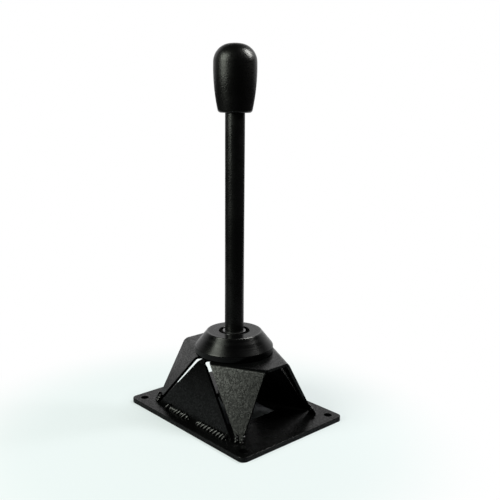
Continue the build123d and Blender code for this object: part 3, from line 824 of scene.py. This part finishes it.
def seen_rays(tree, share):
    """1 for rays straight from the camera and a lesser share for mirrored or refracted ones."""
    rays = put(tree, "ShaderNodeLightPath").outputs
    bounced = maths(tree, "MAXIMUM", rays["Is Glossy Ray"], rays["Is Transmission Ray"])
    return maths(tree, "MAXIMUM", rays["Is Camera Ray"], maths(tree, "MULTIPLY", bounced, share))


def shaded(tree, colour, outside):
    """Colour kept outside the plate's outline and cut below the plate to the share set for its painted
    shade.
    """
    node = put(tree, "ShaderNodeVectorMath", operation="SCALE")
    join(tree, (colour, node.inputs[0]),
         (maths(tree, "MULTIPLY_ADD", outside, 1 - UNDER_PLATE_PAINTED_SHADE, UNDER_PLATE_PAINTED_SHADE), node.inputs["Scale"]))
    return node.outputs[0]


def outside_plate(tree, x, y):
    """0 under the plate, rising to 1 at its outline."""
    beside = [spread(tree, maths(tree, "ABSOLUTE", across), half - UNDER_PLATE_EDGE, half)
              for across, half in ((x, PLATE_CORNER.x), (y, PLATE_CORNER.y))]
    return maths(tree, "MAXIMUM", *beside)


def table_material(white, tint, lift, middle, fade, mirrored, mirror_fade):
    """Diffuse white and tinted emission, which both give way to pure white emission far out.

    fade is (near, far), the distances from the middle between which that happens. lift is
    the emission's strength near by. mirrored is the share of the emission that
    reflections see, (close, far out), and it changes over the distances mirror_fade.
    """
    material, tree, shader, where = start_material("table_paint")
    parts = put(tree, "ShaderNodeSeparateXYZ")
    join(tree, (where, parts.inputs["Vector"]))
    x, y = parts.outputs["X"], parts.outputs["Y"]
    from_middle = hypotenuse(tree, maths(tree, "SUBTRACT", x, middle[0]),
                             maths(tree, "SUBTRACT", y, middle[1]))
    far_out = spread(tree, from_middle, *fade)
    share = spread(tree, from_middle, *mirror_fade, *mirrored)
    outside = outside_plate(tree, x, y)
    lifted = maths(tree, "MULTIPLY_ADD", far_out, 1 - lift, lift)
    glow = maths(tree, "MULTIPLY", maths(tree, "MULTIPLY", lifted, outside), seen_rays(tree, share))
    diffuse = mix_colours(tree, far_out, white, (0.0, 0.0, 0.0))
    # The base colour is darkened under the plate by shaded(): a painted shade.
    join(tree, (glow, shader.inputs["Emission Strength"]),
         (mix_colours(tree, far_out, tint, (1.0, 1.0, 1.0)), shader.inputs["Emission Color"]),
         (shaded(tree, diffuse, outside), shader.inputs["Base Color"]))
    shader.inputs["Roughness"].default_value = 0.9
    shader.inputs["Specular IOR Level"].default_value = 0.0
    return material


stage_table.data.materials.append(table_material(
    white=(0.283, 0.298, 0.322), tint=(0.91, 1.0, 0.965), lift=0.55, middle=(0.02, -0.07),
    fade=(0.14, 0.29), mirrored=(0.15, SWEEP_LEVEL), mirror_fade=(0.30, 0.55)))
print("table paint:", stage_table.data.materials[0].name)

# %% [markdown]
# ## Lights
#
# The lights were read off the black surfaces themselves. Wherever a surface is bright,
# the line of sight, mirrored in it, points at a lamp. The broad highlight down the left
# of the knob and the lever, and the grey of the front leg, all point at one large
# softbox to the left of the camera. The small hot spot on the knob's right shoulder
# points at a compact lamp high on the right. Level faces mirror the white sweep behind
# the object, and most of the others mirror a dark room. The black's highlights lean
# towards olive in the photograph, so the softbox has a little of that tint.

# %% Softboxes
def softbox(name, azimuth, elevation, distance, width, height, power, colour, aim=(0, 0, 0.16)):
    """Area lamp seen from its aim at an azimuth and elevation in degrees, facing the aim."""
    lamp = bpy.data.lights.new(name, "AREA")
    lamp.shape = "RECTANGLE"
    lamp.size, lamp.size_y = width, height
    lamp.energy = power
    lamp.color = colour
    box = bpy.data.objects.new(name, lamp)
    around, up = math.radians(azimuth), math.radians(elevation)
    direction = Vector((math.cos(around) * math.cos(up), math.sin(around) * math.cos(up), math.sin(up)))
    box.location = Vector(aim) + distance * direction
    box.rotation_euler = direction.to_track_quat("Z", "Y").to_euler()
    box.visible_camera = False
    bpy.context.scene.collection.objects.link(box)
    return box


lamps = [
    softbox("softbox_left", azimuth=-104, elevation=27, distance=1.5, width=0.84, height=1.10,
            power=30, colour=(0.94, 1.0, 0.88)),
    softbox("lamp_right", azimuth=56, elevation=41, distance=0.60, width=0.22, height=0.34,
            power=6.4, colour=(1.0, 1.0, 0.96), aim=(0, 0, 0.35)),
]
print("lamps:", ", ".join(lamp.name for lamp in lamps))

# %% [markdown]
# ## The sweep and the room
#
# The world stands in for everything further away. To the camera it is plain white. To
# all other rays it is a white sweep behind the object, which fades out to both sides
# and upwards, and a dim room elsewhere. Smooth steps make it: one on the angle between
# a ray and the direction of the sweep, one on how steeply the ray rises, and a narrow
# one at the horizon, below which the table is the only white.

# %% World
HORIZON_SOFT = 0.04


def studio_world(sweep, room, half_white, half_dark, low, high):
    """World strength: sweep near the view's far end, room to the sides, above and below.

    Sideways it changes between half_white and half_dark degrees from the far end, and
    upwards between low and high degrees of elevation.
    """
    world = bpy.data.worlds.new("studio")
    world.use_nodes = True
    bpy.context.scene.world = world
    tree = world.node_tree
    background = tree.nodes["Background"]
    ray = put(tree, "ShaderNodeTexCoord").outputs["Generated"]
    parts = put(tree, "ShaderNodeSeparateXYZ")
    x, y, z = parts.outputs
    turn = math.radians(AWAY_DEGREES)
    away = maths(tree, "MULTIPLY_ADD", x, math.cos(turn), maths(tree, "MULTIPLY", y, math.sin(turn)))
    behind = spread(tree, maths(tree, "DIVIDE", away, hypotenuse(tree, x, y)),
                    math.cos(math.radians(half_dark)), math.cos(math.radians(half_white)))
    below_top = spread(tree, z, math.sin(math.radians(low)), math.sin(math.radians(high)),
                       to_low=1.0, to_high=0.0)
    above_ground = spread(tree, z, low=-HORIZON_SOFT, high=0.0)
    lit = maths(tree, "MULTIPLY", maths(tree, "MULTIPLY", behind, below_top), above_ground)
    strength = maths(tree, "MULTIPLY_ADD", lit, sweep - room, room)
    camera_ray = put(tree, "ShaderNodeLightPath").outputs["Is Camera Ray"]
    join(tree, (ray, parts.inputs["Vector"]),
         (maths(tree, "MAXIMUM", strength, camera_ray), background.inputs["Strength"]))
    background.inputs["Color"].default_value = (1.0, 1.0, 1.0, 1.0)
    return world


world = studio_world(sweep=SWEEP_LEVEL, room=0.025, half_white=43, half_dark=72, low=24, high=50)
print("world", world.name, "with", len(world.node_tree.nodes), "nodes")

# %% [markdown]
# ## Camera
#
# The camera stands where the photographer's did. Its place, direction and focal
# length were solved from the plate's four corners, its bolt holes and the lever's
# upright edges. The tiny roll is the photographer's own.

# %% Camera at the photograph's angle
def photo_camera(place_m, forward, lens, roll_degrees):
    """Camera from its place and direction; roll turns it about its own line of sight."""
    data = bpy.data.cameras.new("camera")
    data.sensor_width = 36.0
    data.lens = lens
    data.clip_start, data.clip_end = 0.05, 20.0
    camera = bpy.data.objects.new("camera", data)
    bpy.context.scene.collection.objects.link(camera)
    forward = Vector(forward).normalized()
    right = forward.cross(Vector((0, 0, 1))).normalized()
    up = right.cross(forward)
    roll = math.radians(roll_degrees)
    right, up = (right * math.cos(roll) + up * math.sin(roll),
                 up * math.cos(roll) - right * math.sin(roll))
    turn = Matrix((right, up, -forward)).transposed()
    camera.matrix_world = Matrix.Translation(place_m) @ turn.to_4x4()
    bpy.context.scene.camera = camera
    return camera


camera = photo_camera(place_m=(0.5460, -0.4759, 0.3330), forward=(-0.7229, 0.6588, -0.2086),
                      lens=51.40, roll_degrees=0.487)
bpy.context.scene.view_settings.view_transform = "Standard"
print("camera", round(camera.location.length, 3), "m from the origin")
